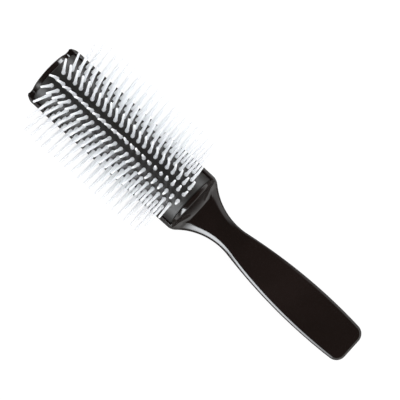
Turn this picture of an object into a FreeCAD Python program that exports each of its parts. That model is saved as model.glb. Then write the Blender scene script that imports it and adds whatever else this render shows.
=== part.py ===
"""Nine-row styling brush, lying on its back with its pins up.

+X runs from the tip to the end of the handle, +Y across, +Z along the middle pins. The origin is on
the surface that the brush lies on, under the middle of its length. All sizes are millimetres, and
the places along the brush are given from its tip.

The body is one moulding: a hollow head with a dome and two grooved rails, a shoulder and a handle.
A curved rubber pad slides into the rails. Nine nylon strips lie between the dome and the pad, and
their pins come out through holes in the pad.
"""

import FreeCAD, Part

import math
import os
import re

import Sketcher

V = FreeCAD.Vector

SIZES = {
    # the whole brush
    "total_length": 220.2,
    "slide_gap": 0.08,
    # section of the head: its widest half width, how far other corners stand in from it, and heights
    "head_half": 18.5,
    "land_in": 11.5,
    "keel_in": 5.8,
    "chine_in": 2.6,
    "flange_in": 0.7,
    "side_in": 0.2,
    "rail_in": 1.6,
    "hollow_foot_in": 3.5,
    "hollow_head_in": 2.8,
    "pad_in": 0.9,
    "keel_height": 0.9,
    "chine_height": 4.0,
    "flange_height": 4.7,
    "head_height": 5.8,
    "side_height": 7.8,
    "rail_height": 12.8,
    "groove_floor": 11.6,
    "hollow_floor": 4.7,
    # the arch: the share of its radius between its axis and the groove's floor, and its layers
    "foot_share": 0.386364,
    "pad_thickness": 1.6,
    "strip_space": 1.2,
    "dome_wall": 1.6,
    "side_wall": 1.9,
    "shelf_wall": 1.5,
    # places along the head
    "tip_corner": 3.0,
    "pad_start": 3.4,
    "pad_end": 99.8,
    "pad_lean": 2.4,
    "collar_end": 102.8,
    "collar_step": 0.3,
    "shoulder_end": 108.0,
    "shoulder_bow": 60.0,
    "shoulder_sink": 0.2,
    "hollow_end": 97.6,
    "gate_radius": 0.9,
    "gate_depth": 0.8,
    "gate_height": 9.3,
    # strips and pins
    "row_step": 14.4,
    "pin_pitch": 4.0,
    "first_pin": 8.0,
    "pins_row_0": 23,
    "pins_row_1": 23,
    "pins_row_2": 22,
    "pins_row_3": 21,
    "pins_row_4": 20,
    "pin_reach": 19.2,
    "pin_root_half": 1.0,
    "pin_neck_half": 0.66,
    "pin_tip_half": 0.46,
    "pin_root_reach": 0.9,
    "pin_neck_reach": 2.4,
    "hole_gap": 0.12,
    "strip_thickness": 1.0,
    "strip_half": 1.25,
    "strip_margin": 2.2,
    # handle, as tangent arcs in plan; it is widest at a share of its length behind the neck
    "handle_start": 97.2,
    "handle_top": 11.0,
    "shoulder_round": 7.0,
    "neck_place": 132.2,
    "neck_half": 7.1,
    "neck_round": 40.0,
    "grip_half": 12.5,
    "grip_share": 0.6704,
    "heel_corner": 6.0,
    # levels of the handle: how high each stands and how far it stands in from the widest one
    "sole_in": 3.6,
    "bilge_height": 1.5,
    "bilge_in": 1.3,
    "waist_height": 4.6,
    "bevel_depth": 1.8,
    "bevel_in": 1.9,
    "hollow_back_start": 110.2,
    "hollow_back_rise": 1.2,
    "heel_land": 8.0,
    # how far cutting outlines reach past what they cut, and bows past what they join
    "over_cut": 1.0,
}

# Sizes that follow from the driving ones, in the same sheet.
FOLLOWING = {
    "land_half": "head_half - land_in",
    "keel_half": "head_half - keel_in",
    "chine_half": "head_half - chine_in",
    "flange_half": "head_half - flange_in",
    "side_half": "head_half - side_in",
    "rail_half": "head_half - rail_in",
    "hollow_foot": "head_half - hollow_foot_in",
    "hollow_head": "head_half - hollow_head_in",
    "pad_radius": "head_half - pad_in",
    "arch_height": "groove_floor - foot_share * pad_radius",
    "hollow_back_end": "total_length - heel_land",
    "grip_run": "grip_share * (total_length - neck_place)",
    "grip_drop": "neck_half + neck_round - grip_half",
    "grip_square": "grip_run * grip_run + grip_drop * grip_drop - neck_round * neck_round",
    "grip_round": "grip_square / (2 * (grip_half - neck_half))",
}

# Rows of pins: name, side across the brush, number outwards from the middle, and how many half
# pitches its first pin stands behind the middle row's.
ROWS = [("pin_row_centre", 0, 0, 0)] + [
    (f"pin_row_{word}_{number}", side, number, halves)
    for word, side in (("right", 1), ("left", -1))
    for number, halves in ((1, 0), (2, 1), (3, 2), (4, 3))
]

# The corners of a square of unit half width. The pins are four-sided, which keeps 195 of them light.
SQUARE = ((1, 1), (-1, 1), (-1, -1), (1, -1))

FUNCTIONS = ("sin", "cos")

doc = FreeCAD.newDocument("styling_brush")


def make_sheet():
    """The driving sizes as plain numbers and the following ones as formulas, with word aliases."""
    made = doc.addObject("Spreadsheet::Sheet", "Sizes")
    cells = {alias: str(value) for alias, value in SIZES.items()}
    cells.update({alias: f"={formula}" for alias, formula in FOLLOWING.items()})
    for line, (alias, content) in enumerate(cells.items(), start=1):
        made.set(f"A{line}", alias)
        made.setAlias(f"B{line}", alias)
        made.set(f"B{line}", content)
        doc.recompute()
    return made


sheet = make_sheet()


def tied(word):
    """A word of an expression, tied to its cell unless it is a function."""
    return word[0] if word[0] in FUNCTIONS else f"Sizes.{word[0]}"


def size(text):
    """An expression in the sheet's words, with each word tied to its cell."""
    return re.sub(r"[a-z][a-z_0-9]*", tied, str(text))


def value_of(text):
    """The number that such an expression comes to."""
    return float(sheet.evalExpression(size(text)))


def along(place):
    """A place from the tip, as a distance from the middle of the brush."""
    return f"{place} - total_length / 2"


def new_body(name):
    """An empty body that carries its name."""
    body = doc.addObject("PartDesign::Body", name)
    body.Label = name
    return body


def origin_feature(body, role):
    """The plane or axis of a body's origin with this role."""
    return next(f for f in body.Origin.OriginFeatures if f.Role == role)


def new_sketch(body, name, plane, shift=None, side=0, radius=None, angle=None):
    """A sketch on an origin plane, moved along its normal by shift.

    With a radius and an angle, it stands that far from the arch's axis, turned to the side by it.
    """
    sketch = body.newObject("Sketcher::SketchObject", name)
    sketch.AttachmentSupport = [(origin_feature(body, plane), "")]
    sketch.MapMode = "FlatFace"
    if angle is not None:
        sketch.AttachmentOffset = FreeCAD.Placement(V(0, 0, 0), FreeCAD.Rotation(V(1, 0, 0), 1))
        sketch.setExpression("AttachmentOffset.Rotation.Angle", size(f"{-side} * {angle}"))
        sketch.setExpression("AttachmentOffset.Base.y", size(f"{side} * ({radius}) * sin({angle})"))
        shift = f"arch_height + ({radius}) * cos({angle})"
    if shift is not None:
        sketch.setExpression("AttachmentOffset.Base.z", size(shift))
    return sketch


def place_point(sketch, geometry, point, across, up):
    """Ties a point of a sketch to two expressions, to an axis where one is zero, or leaves it."""
    for kind, text, axis in (("DistanceX", across, -2), ("DistanceY", up, -1)):
        if text == "0":
            sketch.addConstraint(Sketcher.Constraint("PointOnObject", geometry, point, axis))
        elif text:
            index = sketch.addConstraint(Sketcher.Constraint(kind, -1, 1, geometry, point, value_of(text)))
            sketch.setExpression(f"Constraints[{index}]", size(text))


def draw_polygon(sketch, corners):
    """A closed outline of straight lines, each corner tied to its two expressions."""
    spots = [V(value_of(across), value_of(up), 0) for across, up in corners]
    first = sketch.GeometryCount
    for spot, after in zip(spots, spots[1:] + spots[:1]):
        sketch.addGeometry(Part.LineSegment(spot, after), False)
    for index, (across, up) in enumerate(corners):
        after = first + (index + 1) % len(corners)
        sketch.addConstraint(Sketcher.Constraint("Coincident", first + index, 2, after, 1))
        place_point(sketch, first + index, 1, across, up)


def draw_arch(sketch, radius, centre, chord):
    """The segment of a disc above a level chord, with its centre on the middle plane."""
    middle, wide, low = value_of(centre), value_of(radius), value_of(chord)
    half = (wide**2 - (low - middle) ** 2) ** 0.5
    bow = sketch.addGeometry(Part.Arc(V(half, low, 0), V(0, middle + wide, 0), V(-half, low, 0)), False)
    line = sketch.addGeometry(Part.LineSegment(V(-half, low, 0), V(half, low, 0)), False)
    sketch.addConstraint(Sketcher.Constraint("Coincident", bow, 2, line, 1))
    sketch.addConstraint(Sketcher.Constraint("Coincident", line, 2, bow, 1))
    sketch.addConstraint(Sketcher.Constraint("Horizontal", line))
    place_point(sketch, bow, 3, "0", centre)
    place_point(sketch, line, 1, "", chord)
    index = sketch.addConstraint(Sketcher.Constraint("Radius", bow, wide))
    sketch.setExpression(f"Constraints[{index}]", size(radius))


def draw_circle(sketch, radius, across, up):
    """A circle with its radius and centre tied to expressions."""
    ring = sketch.addGeometry(Part.Circle(V(value_of(across), value_of(up), 0), V(0, 0, 1), 1.0), False)
    place_point(sketch, ring, 3, across, up)
    index = sketch.addConstraint(Sketcher.Constraint("Radius", ring, value_of(radius)))
    sketch.setExpression(f"Constraints[{index}]", size(radius))


def mirrored(half_outline):
    """A closed outline from its right half, given from the bottom upwards."""
    return half_outline + [(f"0 - ( {across} )", up) for across, up in reversed(half_outline)]


def draw_bow(sketch, start, end, rise):
    """The thin segment between the level axis and an arc that rises over it."""
    first, last, high = (value_of(text) for text in (start, end, rise))
    bow = sketch.addGeometry(Part.Arc(V(last, 0, 0), V((first + last) / 2, high, 0), V(first, 0, 0)), False)
    line = sketch.addGeometry(Part.LineSegment(V(first, 0, 0), V(last, 0, 0)), False)
    sketch.addConstraint(Sketcher.Constraint("Coincident", bow, 2, line, 1))
    sketch.addConstraint(Sketcher.Constraint("Coincident", line, 2, bow, 1))
    place_point(sketch, line, 1, start, "0")
    place_point(sketch, line, 2, end, "0")
    radius = f"(({end} - ({start})) * ({end} - ({start})) / 4 + {rise} * {rise}) / (2 * {rise})"
    index = sketch.addConstraint(Sketcher.Constraint("Radius", bow, value_of(radius)))
    sketch.setExpression(f"Constraints[{index}]", size(radius))


def add_pad(body, name, sketch, length):
    """A pad along the sketch's normal."""
    pad = body.newObject("PartDesign::Pad", name)
    pad.Profile = sketch
    pad.setExpression("Length", size(length))
    return pad


def add_pocket(body, name, sketch, length=None, forward=True, both_ways=False):
    """A pocket along the sketch's normal, or both ways from it, or through everything."""
    pocket = body.newObject("PartDesign::Pocket", name)
    pocket.Profile = sketch
    pocket.Reversed = forward
    pocket.Midplane = both_ways
    if length is None:
        pocket.Type = "ThroughAll"
    else:
        pocket.setExpression("Length", size(length))
    return pocket


def add_loft(body, name, sketches):
    """A loft with straight sides through the sketches."""
    loft = body.newObject("PartDesign::AdditiveLoft", name)
    loft.Profile = sketches[0]
    loft.Sections = sketches[1:]
    loft.Ruled = True
    return loft


# Heights and radii that follow from the sheet.
DOME_RADIUS = "pad_radius - pad_thickness - strip_space"
GROOVE_RADIUS = "pad_radius + slide_gap"
COLLAR_RADIUS = "pad_radius + collar_step"
LEAN_TOP = "arch_height + pad_radius + over_cut"
SHELF_UNDER = "groove_floor - shelf_wall"


def head_features(body):
    """Tray with its rails, groove, collar and dome, before the hollow is cut."""
    tray = new_sketch(body, "tray_section", "YZ_Plane", along("0"))
    words = ("land", "keel", "chine", "flange", "head", "side", "rail")
    half = [(f"{word}_half", "0" if word == "land" else f"{word}_height") for word in words]
    draw_polygon(tray, mirrored(half))
    add_pad(body, "tray", tray, "collar_end")

    groove = new_sketch(body, "groove_section", "YZ_Plane", along("0"))
    draw_arch(groove, GROOVE_RADIUS, "arch_height", "groove_floor")
    add_pocket(body, "groove", groove, "pad_end + pad_lean")

    collar = new_sketch(body, "collar_section", "YZ_Plane", along("pad_end"))
    draw_arch(collar, COLLAR_RADIUS, "arch_height", SHELF_UNDER)
    add_pad(body, "collar", collar, "collar_end - pad_end")

    lean = new_sketch(body, "collar_lean_side", "XZ_Plane")
    wedge = ((along("pad_end"), LEAN_TOP), (along("pad_end"), "groove_floor"))
    draw_polygon(lean, (*wedge, (along("pad_end + pad_lean"), "groove_floor")))
    add_pocket(body, "collar_lean", lean, "2 * rail_half - 2 * slide_gap", both_ways=True)

    dome = new_sketch(body, "dome_section", "YZ_Plane", along("0"))
    draw_arch(dome, DOME_RADIUS, "arch_height", SHELF_UNDER)
    add_pad(body, "dome", dome, "collar_end")


def shoulder_features(body):
    """The slope from the collar down to the flat of the handle."""
    high = new_sketch(body, "shoulder_high", "YZ_Plane", along("collar_end"))
    draw_arch(high, COLLAR_RADIUS, "arch_height", "handle_top - over_cut")
    low = new_sketch(body, "shoulder_low", "YZ_Plane", along("shoulder_end"))
    crown = "handle_top - shoulder_sink - shoulder_bow"
    draw_arch(low, "shoulder_bow", crown, "handle_top - over_cut")
    add_loft(body, "shoulder_slope", [high, low])


def draw_handle_plan(sketch, inward):
    """The right half of the handle in plan, drawn inward from its widest outline by a distance.

    A line along the head runs into a convex shoulder arc, a concave neck arc, a long convex grip
    arc and the corner of the heel, each tangent to the next. Their centres don't move inward.
    """
    tip = value_of("total_length / 2")
    inset = value_of(inward)
    wide, shoulder, neck, grip, corner = (
        value_of(word) for word in ("head_half", "shoulder_round", "neck_round", "grip_round", "heel_corner")
    )
    neck_at = V(value_of("neck_place") - tip, value_of("neck_half") + neck, 0)
    shoulder_up = wide - shoulder
    shoulder_back = ((neck + shoulder) ** 2 - (neck_at.y - shoulder_up) ** 2) ** 0.5
    shoulder_at = V(neck_at.x - shoulder_back, shoulder_up, 0)
    grip_up = value_of("grip_half") - grip
    grip_at = V(neck_at.x + ((neck + grip) ** 2 - (neck_at.y - grip_up) ** 2) ** 0.5, grip_up, 0)
    corner_along = tip - corner
    corner_at = V(corner_along, grip_up + ((grip - corner) ** 2 - (corner_along - grip_at.x) ** 2) ** 0.5, 0)
    start, end = value_of(along("handle_start")), tip - inset

    def arc(centre, radius, first, last):
        """An arc about a centre between the directions of two other points, counterclockwise."""
        turns = [math.atan2(at.y - centre.y, at.x - centre.x) % math.tau for at in (first, last)]
        return Part.ArcOfCircle(Part.Circle(centre, V(0, 0, 1), radius), *turns)

    edge = [
        Part.LineSegment(V(start, wide - inset, 0), V(shoulder_at.x, wide - inset, 0)),
        arc(shoulder_at, shoulder - inset, neck_at, shoulder_at + V(0, 1, 0)),
        arc(neck_at, neck + inset, shoulder_at, grip_at),
        arc(grip_at, grip - inset, corner_at, neck_at),
        arc(corner_at, corner - inset, corner_at + V(1, 0, 0), corner_at + (corner_at - grip_at)),
        Part.LineSegment(V(end, corner_at.y, 0), V(end, 0, 0)),
        Part.LineSegment(V(end, 0, 0), V(start, 0, 0)),
        Part.LineSegment(V(start, 0, 0), V(start, wide - inset, 0)),
    ]
    side, bend, waist, palm, turn, heel, middle, front = (sketch.addGeometry(piece, False) for piece in edge)
    for one, one_end, other, other_end in (
        (side, 2, bend, 2), (bend, 1, waist, 1), (waist, 2, palm, 2), (palm, 1, turn, 2), (turn, 1, heel, 1)
    ):
        sketch.addConstraint(Sketcher.Constraint("Tangent", one, one_end, other, other_end))
    for one, other in ((heel, middle), (middle, front), (front, side)):
        sketch.addConstraint(Sketcher.Constraint("Coincident", one, 2, other, 1))
    for piece, word in ((side, "Horizontal"), (heel, "Vertical"), (front, "Vertical")):
        sketch.addConstraint(Sketcher.Constraint(word, piece))
    sketch.addConstraint(Sketcher.Constraint("PointOnObject", middle, 1, -1))
    sketch.addConstraint(Sketcher.Constraint("PointOnObject", middle, 2, -1))
    for piece, radius in (
        (bend, f"shoulder_round - {inward}"), (waist, f"neck_round + {inward}"),
        (palm, f"grip_round - {inward}"), (turn, f"heel_corner - {inward}")
    ):
        index = sketch.addConstraint(Sketcher.Constraint("Radius", piece, value_of(radius)))
        sketch.setExpression(f"Constraints[{index}]", size(radius))
    place_point(sketch, side, 1, along("handle_start"), f"head_half - {inward}")
    place_point(sketch, waist, 3, along("neck_place"), "neck_half + neck_round")
    place_point(sketch, palm, 3, "", "grip_half - grip_round")
    place_point(sketch, middle, 1, f"total_length / 2 - {inward}", "")


def handle_features(body):
    """The handle as a ruled loft through its levels, one half mirrored, then its hollowed back."""
    levels = (
        ("sole", "0", "sole_in"),
        ("bilge", "bilge_height", "bilge_in"),
        ("waist", "waist_height", "0"),
        ("brow", "handle_top - bevel_depth", "0"),
        ("flat", "handle_top", "bevel_in"),
    )
    plans = []
    for name, height, inward in levels:
        plan = new_sketch(body, f"{name}_plan", "XY_Plane", height)
        draw_handle_plan(plan, inward)
        plans.append(plan)
    half = add_loft(body, "handle_half", plans)
    doc.recompute()
    whole = body.newObject("PartDesign::Mirrored", "handle")
    whole.Originals = [half]
    whole.MirrorPlane = (origin_feature(body, "XZ_Plane"), [""])
    body.Tip = whole

    words = ("keel", "chine", "flange", "head")
    edge = [("land_half", "0")] + [(f"{word}_half", f"{word}_height") for word in words]
    edge += [("head_half + over_cut", "0 - over_cut"), ("land_half", "0 - over_cut")]
    for word, sign in (("right", ""), ("left", "0 - ")):
        trim = new_sketch(body, f"underside_{word}_section", "YZ_Plane", along("handle_start"))
        draw_polygon(trim, [(f"{sign}({across})", up) for across, up in edge])
        add_pocket(body, f"underside_{word}", trim, "neck_place - handle_start")

    bow = new_sketch(body, "hollow_back_side", "XZ_Plane")
    draw_bow(bow, along("hollow_back_start"), along("hollow_back_end"), "hollow_back_rise")
    add_pocket(body, "hollow_back", bow, both_ways=True)


def hollow_features(body):
    """The bore of the head, the wider slot under its shelves, and the gate mark on its end wall."""
    bore = new_sketch(body, "bore_section", "YZ_Plane", along("0"))
    draw_arch(bore, f"{DOME_RADIUS} - dome_wall", "arch_height", "hollow_floor")
    add_pocket(body, "bore", bore, "hollow_end")

    slot = new_sketch(body, "slot_section", "YZ_Plane", along("0"))
    inside = "head_half - side_wall"
    half = [("hollow_foot", "hollow_floor"), (inside, "head_height"), (inside, "side_height")]
    draw_polygon(slot, mirrored([*half, ("hollow_head", SHELF_UNDER)]))
    add_pocket(body, "slot", slot, "hollow_end")

    gate = new_sketch(body, "gate_section", "YZ_Plane", along("hollow_end"))
    draw_circle(gate, "gate_radius", "0", "gate_height")
    add_pocket(body, "gate", gate, "gate_depth")


def tip_corner_features(body):
    """Rounds the two corners of the tip in plan."""
    for word, side in (("right", "1"), ("left", "-1")):
        sketch = new_sketch(body, f"tip_{word}_plan", "XY_Plane")
        x0, x1 = value_of(along("0")), value_of(along("tip_corner"))
        y1 = value_of(f"{side} * head_half")
        y0 = value_of(f"{side} * (head_half - tip_corner)")
        reach = (x1 - x0) * (1 - 0.5**0.5)
        middle = V(x0 + reach, y1 - float(side) * reach, 0)
        bow = sketch.addGeometry(Part.Arc(V(x0, y0, 0), middle, V(x1, y1, 0)), False)
        near = sketch.addGeometry(Part.LineSegment(V(x1, y1, 0), V(x0, y1, 0)), False)
        far = sketch.addGeometry(Part.LineSegment(V(x0, y1, 0), V(x0, y0, 0)), False)
        ends = (1, 2) if side == "-1" else (2, 1)
        sketch.addConstraint(Sketcher.Constraint("Coincident", bow, ends[1], near, 1))
        sketch.addConstraint(Sketcher.Constraint("Coincident", near, 2, far, 1))
        sketch.addConstraint(Sketcher.Constraint("Coincident", far, 2, bow, ends[0]))
        place_point(sketch, near, 1, along("tip_corner"), f"{side} * head_half")
        place_point(sketch, far, 1, along("0"), f"{side} * head_half")
        place_point(sketch, bow, 3, along("tip_corner"), f"{side} * (head_half - tip_corner)")
        add_pocket(body, f"tip_{word}", sketch, "rail_height + over_cut")


def make_body():
    """The one moulding of head, shoulder and handle."""
    body = new_body("body")
    head_features(body)
    shoulder_features(body)
    handle_features(body)
    hollow_features(body)
    tip_corner_features(body)
    return body


def add_frustum(body, name, row, low, high):
    """A four-sided frustum about a row's direction, between two levels of reach and half width."""
    side, angle, place = row
    wedge = body.newObject("PartDesign::AdditiveWedge", name)
    wedge.AttachmentSupport = [(origin_feature(body, "XZ_Plane"), "")]
    wedge.MapMode = "FlatFace"
    wedge.AttachmentOffset = FreeCAD.Placement(V(0, 0, 0), FreeCAD.Rotation(V(1, 0, 0), 1))
    wedge.setExpression("AttachmentOffset.Rotation.Angle", size(f"{-side} * {angle}"))
    wedge.setExpression("AttachmentOffset.Base.x", size(place))
    wedge.setExpression("AttachmentOffset.Base.y", size("arch_height"))
    for mark, (reach, half) in (("", low), ("2", high)):
        for axis in "XZ":
            wedge.setExpression(f"{axis}{mark}min", size(f"0 - ({half})"))
            wedge.setExpression(f"{axis}{mark}max", size(half))
        wedge.setExpression("Ymax" if mark else "Ymin", size(reach))
    return wedge


def repeat(body, name, features, number):
    """Repeats features at the pin pitch, as often as the row has pins."""
    pattern = body.newObject("PartDesign::LinearPattern", name)
    pattern.Originals = features
    pattern.Direction = (origin_feature(body, "X_Axis"), [""])
    pattern.setExpression("Length", size(f"(pins_row_{number} - 1) * pin_pitch"))
    pattern.setExpression("Occurrences", size(f"pins_row_{number}"))
    body.Tip = pattern
    return pattern


def make_pad():
    """The curved rubber sheet with a hole for each pin."""
    body = new_body("rubber_sheet")
    outer = new_sketch(body, "sheet_outer", "YZ_Plane", along("pad_start"))
    draw_arch(outer, "pad_radius", "arch_height", "groove_floor + slide_gap")
    add_pad(body, "sheet", outer, "pad_end + pad_lean - pad_start - slide_gap")
    inner = new_sketch(body, "sheet_inner", "YZ_Plane", along("pad_start"))
    draw_arch(inner, "pad_radius - pad_thickness", "arch_height", SHELF_UNDER)
    add_pocket(body, "sheet_inside", inner)
    lean = new_sketch(body, "sheet_lean_side", "XZ_Plane")
    foot = along("pad_end + pad_lean - slide_gap")
    back = along("pad_end + pad_lean + over_cut")
    face = [(along("pad_end - slide_gap"), LEAN_TOP), (foot, "groove_floor")]
    draw_polygon(lean, [*face, (back, "groove_floor"), (back, LEAN_TOP)])
    add_pocket(body, "sheet_lean", lean, both_ways=True)
    holes = doc.addObject("Part::Feature", "pin_holes")
    holes.Shape = Part.Compound([hole for row in ROWS for hole in row_of_holes(*row)])
    pad = doc.addObject("Part::Cut", "pin_pad")
    pad.Base = body
    pad.Tool = holes
    pad.Label = "pin_pad"
    return pad


def row_of_holes(name, side, number, halves):
    """The four-sided holes of one row, each pointing out from the arch's axis."""
    half = value_of("pin_root_half + hole_gap")
    reach = value_of("pad_radius + over_cut")
    turn = FreeCAD.Rotation(V(1, 0, 0), -side * number * value_of("row_step"))
    corners = [V(across, up, 0) * half for across, up in SQUARE]
    prism = Part.Face(Part.makePolygon([*corners, corners[0]])).extrude(V(0, 0, reach))
    holes = []
    for index in range(round(value_of(f"pins_row_{number}"))):
        place = value_of(along(f"first_pin + ({halves} / 2 + {index}) * pin_pitch"))
        hole = prism.copy()
        hole.Placement = FreeCAD.Placement(V(place, 0, value_of("arch_height")), turn)
        holes.append(hole)
    return holes


def make_strip(name, side, number, halves):
    """A strip that lies on the dome, with its row of tapered pins."""
    body = new_body(name)
    angle = f"{number} * row_step"
    first = f"first_pin + {halves} * pin_pitch / 2"
    last = f"{first} + (pins_row_{number} - 1) * pin_pitch"
    seat = f"{DOME_RADIUS} + slide_gap"
    bar = new_sketch(body, f"{name}_bar", "XY_Plane", side=side, radius=seat, angle=angle)
    start, end = along(f"{first} - strip_margin"), along(f"{last} + strip_margin")
    right = [(start, "0 - strip_half"), (end, "0 - strip_half")]
    draw_polygon(bar, [*right, (end, "strip_half"), (start, "strip_half")])
    add_pad(body, f"{name}_strip", bar, "strip_thickness")
    root = (f"{seat} + strip_thickness / 2", "pin_root_half")
    knob = ("pad_radius + pin_root_reach", "pin_root_half")
    neck = ("pad_radius + pin_neck_reach", "pin_neck_half")
    tip = ("pad_radius + pin_reach", "pin_tip_half")
    row = (side, angle, along(first))
    levels = (("knob", root, knob), ("neck", knob, neck), ("shaft", neck, tip))
    pin = [add_frustum(body, f"{name}_{word}", row, low, high) for word, low, high in levels]
    repeat(body, f"{name}_pins", pin, number)
    return body


def check_and_write(bodies):
    """Stops if any object failed or any piece isn't one sound solid, then writes each piece."""
    doc.recompute()
    failed = [o.Name for o in doc.Objects if any(word in o.State for word in ("Invalid", "Error"))]
    if failed:
        raise RuntimeError(f"these objects failed: {failed}")
    os.makedirs("parts", exist_ok=True)
    for body in bodies:
        shape = body.Shape
        if shape.isNull() or not shape.isValid() or len(shape.Solids) != 1:
            raise RuntimeError(f"{body.Label} isn't one sound solid")
        shape.exportStep(f"parts/{body.Label}.step")
        print(body.Label, round(shape.Volume, 1), len(shape.Faces))


check_and_write([make_body(), make_pad()] + [make_strip(*row) for row in ROWS])
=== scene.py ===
"""Looks of the nine-row styling brush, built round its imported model.

The frame is the model's: +X from the tip of the head to the end of the handle, +Y across, +Z along
the middle pins, with the origin under the middle of the length. Sizes are in millimetres until a
mesh is made, and places are given from the tip.
"""

import logging
import math
from collections.abc import Sequence
from dataclasses import dataclass, field
from enum import Enum

import bmesh
import bpy
import numpy as np
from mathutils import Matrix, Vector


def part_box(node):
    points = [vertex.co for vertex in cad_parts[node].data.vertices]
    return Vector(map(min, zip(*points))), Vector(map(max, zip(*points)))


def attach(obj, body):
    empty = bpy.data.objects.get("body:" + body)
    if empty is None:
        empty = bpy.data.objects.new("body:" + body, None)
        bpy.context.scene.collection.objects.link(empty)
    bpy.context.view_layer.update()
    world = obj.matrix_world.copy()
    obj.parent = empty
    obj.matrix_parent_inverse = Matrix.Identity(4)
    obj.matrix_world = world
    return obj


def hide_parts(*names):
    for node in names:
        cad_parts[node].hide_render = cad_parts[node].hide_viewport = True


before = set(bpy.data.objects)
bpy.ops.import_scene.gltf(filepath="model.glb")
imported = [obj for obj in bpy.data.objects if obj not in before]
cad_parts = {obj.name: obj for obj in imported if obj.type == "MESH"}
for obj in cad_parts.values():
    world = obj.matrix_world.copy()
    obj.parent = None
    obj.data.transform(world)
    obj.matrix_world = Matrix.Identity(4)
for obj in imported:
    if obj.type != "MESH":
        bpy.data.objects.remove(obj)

LOG = logging.getLogger("styling_brush")
MM = 0.001
SHARP_ANGLE = math.radians(38)
# points within WELD of each other, in millimetres, become one, and no side counts as under SHORTEST
WELD = 1e-4
SHORTEST = 1e-9
# the share of a side that the rounding of one of its corners may take
CUT_LIMIT = 0.46
WHITE = (1.0, 1.0, 1.0, 1.0)
# a Mix node's colour sockets go by number, because its sockets for plain numbers share their names
MIX_FIRST, MIX_SECOND, MIX_RESULT = 6, 7, 2


class Side(Enum):
    """The side of the middle row that a row of pins stands on."""

    LEFT = -1
    MIDDLE = 0
    RIGHT = 1


class Shows(Enum):
    """What the light of a lamp is seen on."""

    ALL = "all"
    GLOSS = "gloss"
    MATT = "matt"


# Colours and nodes


def linear(hex_colour: str) -> tuple[float, float, float, float]:
    """Turns an sRGB hex colour into a linear one.

    Args:
        hex_colour: Six hex digits after a hash.

    Returns:
        Red, green and blue, and an alpha of one. A channel is c / 12.92 when small and
        ((c + 0.055) / 1.055) to 2.4 above.
    """
    channels = [int(hex_colour[start : start + 2], 16) / 255 for start in (1, 3, 5)]
    bent = [c / 12.92 if c <= 0.04045 else ((c + 0.055) / 1.055) ** 2.4 for c in channels]
    return bent[0], bent[1], bent[2], 1.0


def add_node(
    tree: bpy.types.NodeTree, kind: str, inputs: dict | None = None, **settings: object
) -> bpy.types.Node:
    """Adds one node with its settings, values and links.

    Args:
        tree: The node tree that it goes into.
        kind: The node's type name.
        inputs: Socket name or number to a value, or to an output socket that is linked in.
        settings: Properties of the node itself.

    Returns:
        The node.
    """
    node = tree.nodes.new(kind)
    for name, value in settings.items():
        setattr(node, name, value)
    for name, value in (inputs or {}).items():
        if isinstance(value, bpy.types.NodeSocket):
            tree.links.new(value, node.inputs[name])
        else:
            node.inputs[name].default_value = value
    return node


def new_material(name: str) -> tuple[bpy.types.Material, bpy.types.NodeTree]:
    """Makes an empty node material.

    Args:
        name: The finish's name.

    Returns:
        The material and its node tree.
    """
    material = bpy.data.materials.new(name)
    material.use_nodes = True
    material.node_tree.nodes.clear()
    return material, material.node_tree


def ripple(
    tree: bpy.types.NodeTree, place: bpy.types.NodeSocket, wave_mm: float, detail: float
) -> bpy.types.NodeSocket:
    """Adds a noise whose humps are about wave_mm apart on the real object.

    Args:
        tree: The material's tree.
        place: Object coordinates, in metres.
        wave_mm: The distance between humps. The noise's scale is one over it in metres.
        detail: Octaves of finer noise.

    Returns:
        The noise's value, from 0 to 1.
    """
    inputs = {"Vector": place, "Scale": 1 / (wave_mm * MM), "Detail": detail}
    return add_node(tree, "ShaderNodeTexNoise", inputs).outputs["Fac"]


@dataclass(frozen=True)
class MouldedFinish:
    """A moulded surface: soft patches that are paler and duller, under a fine relief.

    One noise, stretched between patch_from and patch_to, mixes the colours and the roughnesses, and
    a finer one is the height of the bump.
    """

    name: str
    dark: str
    pale: str
    roughness: float
    patch_roughness: float
    ior: float
    patch_mm: float
    patch_detail: float
    relief_mm: float
    relief_detail: float
    relief_depth_mm: float
    patch_from: float = 0.0
    patch_to: float = 1.0

    def material(self) -> bpy.types.Material:
        """Builds the finish.

        Returns:
            The material.
        """
        made, tree = new_material(self.name)
        place = add_node(tree, "ShaderNodeTexCoord").outputs["Object"]
        patches = ripple(tree, place, self.patch_mm, self.patch_detail)
        ends = {"Value": patches, "From Min": self.patch_from, "From Max": self.patch_to}
        spread = add_node(tree, "ShaderNodeMapRange", ends).outputs[0]
        tones = {"Factor": spread, MIX_FIRST: linear(self.dark), MIX_SECOND: linear(self.pale)}
        colour = add_node(tree, "ShaderNodeMix", tones, data_type="RGBA").outputs[MIX_RESULT]
        ends = {"Value": spread, "To Min": self.roughness, "To Max": self.patch_roughness}
        dull = add_node(tree, "ShaderNodeMapRange", ends).outputs[0]
        relief = ripple(tree, place, self.relief_mm, self.relief_detail)
        heights = {"Height": relief, "Distance": self.relief_depth_mm * MM, "Strength": 1.0}
        bump = add_node(tree, "ShaderNodeBump", heights).outputs[0]
        inputs = {"Base Color": colour, "Roughness": dull, "IOR": self.ior, "Normal": bump}
        shader = add_node(tree, "ShaderNodeBsdfPrincipled", inputs)
        add_node(tree, "ShaderNodeOutputMaterial", {"Surface": shader.outputs[0]})
        return made


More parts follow.
